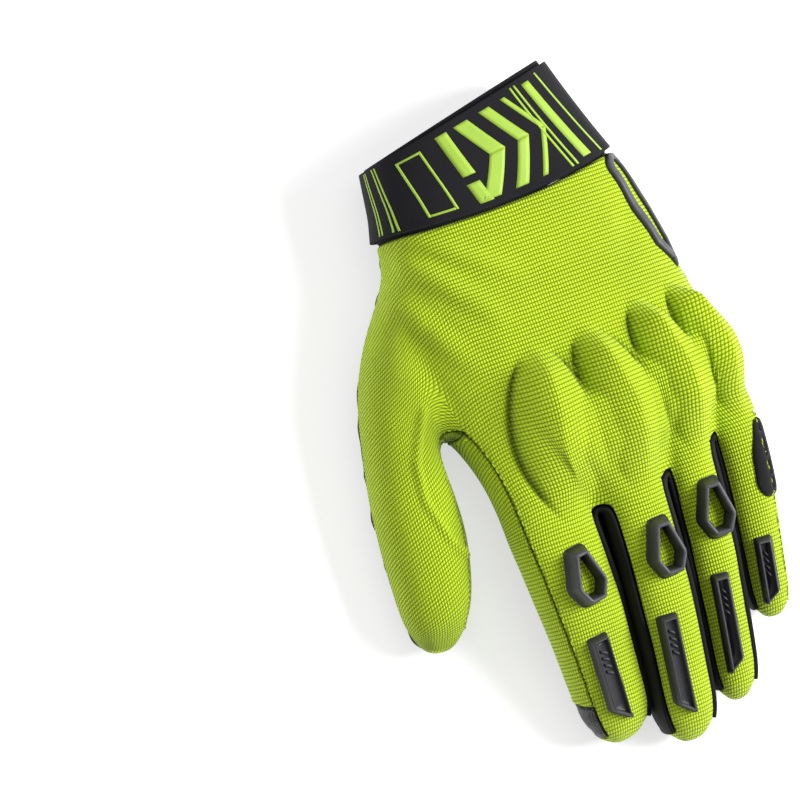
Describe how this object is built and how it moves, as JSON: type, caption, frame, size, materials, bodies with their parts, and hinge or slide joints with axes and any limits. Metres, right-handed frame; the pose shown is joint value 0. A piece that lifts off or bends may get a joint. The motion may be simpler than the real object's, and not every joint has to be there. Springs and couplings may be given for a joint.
{
  "type": "motorcycle glove",
  "caption": "Left-hand riding glove with a knit back, leather palm, raised knuckle guard, rubber finger guards and a strapped cuff, open at the wrist.",
  "frame": {"origin": "on the ground under the middle of the glove's box, which lies on its palm", "axes": "+X towards the little finger, +Y from the fingertips towards the wrist, +Z out of the back of the hand"},
  "size_m": [0.1404, 0.2378, 0.0517],
  "materials": {
    "lime_knit": "ribbed stretch knit",
    "black_leather": "smooth goat leather with a fine pebble grain",
    "black_suede": "suede",
    "black_stretch": "smooth stretch cloth",
    "cuff_cloth": "foam-backed cloth with a printed pattern",
    "guard_rubber": "satin moulded rubber"
  },
  "bodies": {
    "root": {"back_panel": "lime_knit", "index_side_panel": "lime_knit", "little_side_panel": "lime_knit", "thumb_side_panel": "lime_knit", "palm_panel": "black_leather", "thumb_palm": "black_leather", "thumb_tip": "black_leather", "index_tip": "black_leather", "middle_tip": "black_leather", "ring_tip": "black_leather", "little_tip": "black_leather", "fork_index_middle": "black_stretch", "fork_middle_ring": "black_stretch", "fork_ring_little": "black_stretch", "wrist_cuff": "cuff_cloth", "wrist_strap": "cuff_cloth", "heel_pad": "black_suede", "palm_pad": "black_suede", "little_patch": "black_suede", "knuckle_ring_index": "guard_rubber", "knuckle_ring_middle": "guard_rubber", "knuckle_ring_ring": "guard_rubber", "finger_bar_index": "guard_rubber", "finger_bar_middle": "guard_rubber", "finger_bar_ring": "guard_rubber", "finger_bar_little": "guard_rubber", "wrist_loop_trim": "guard_rubber"}
  },
  "joints": []
}
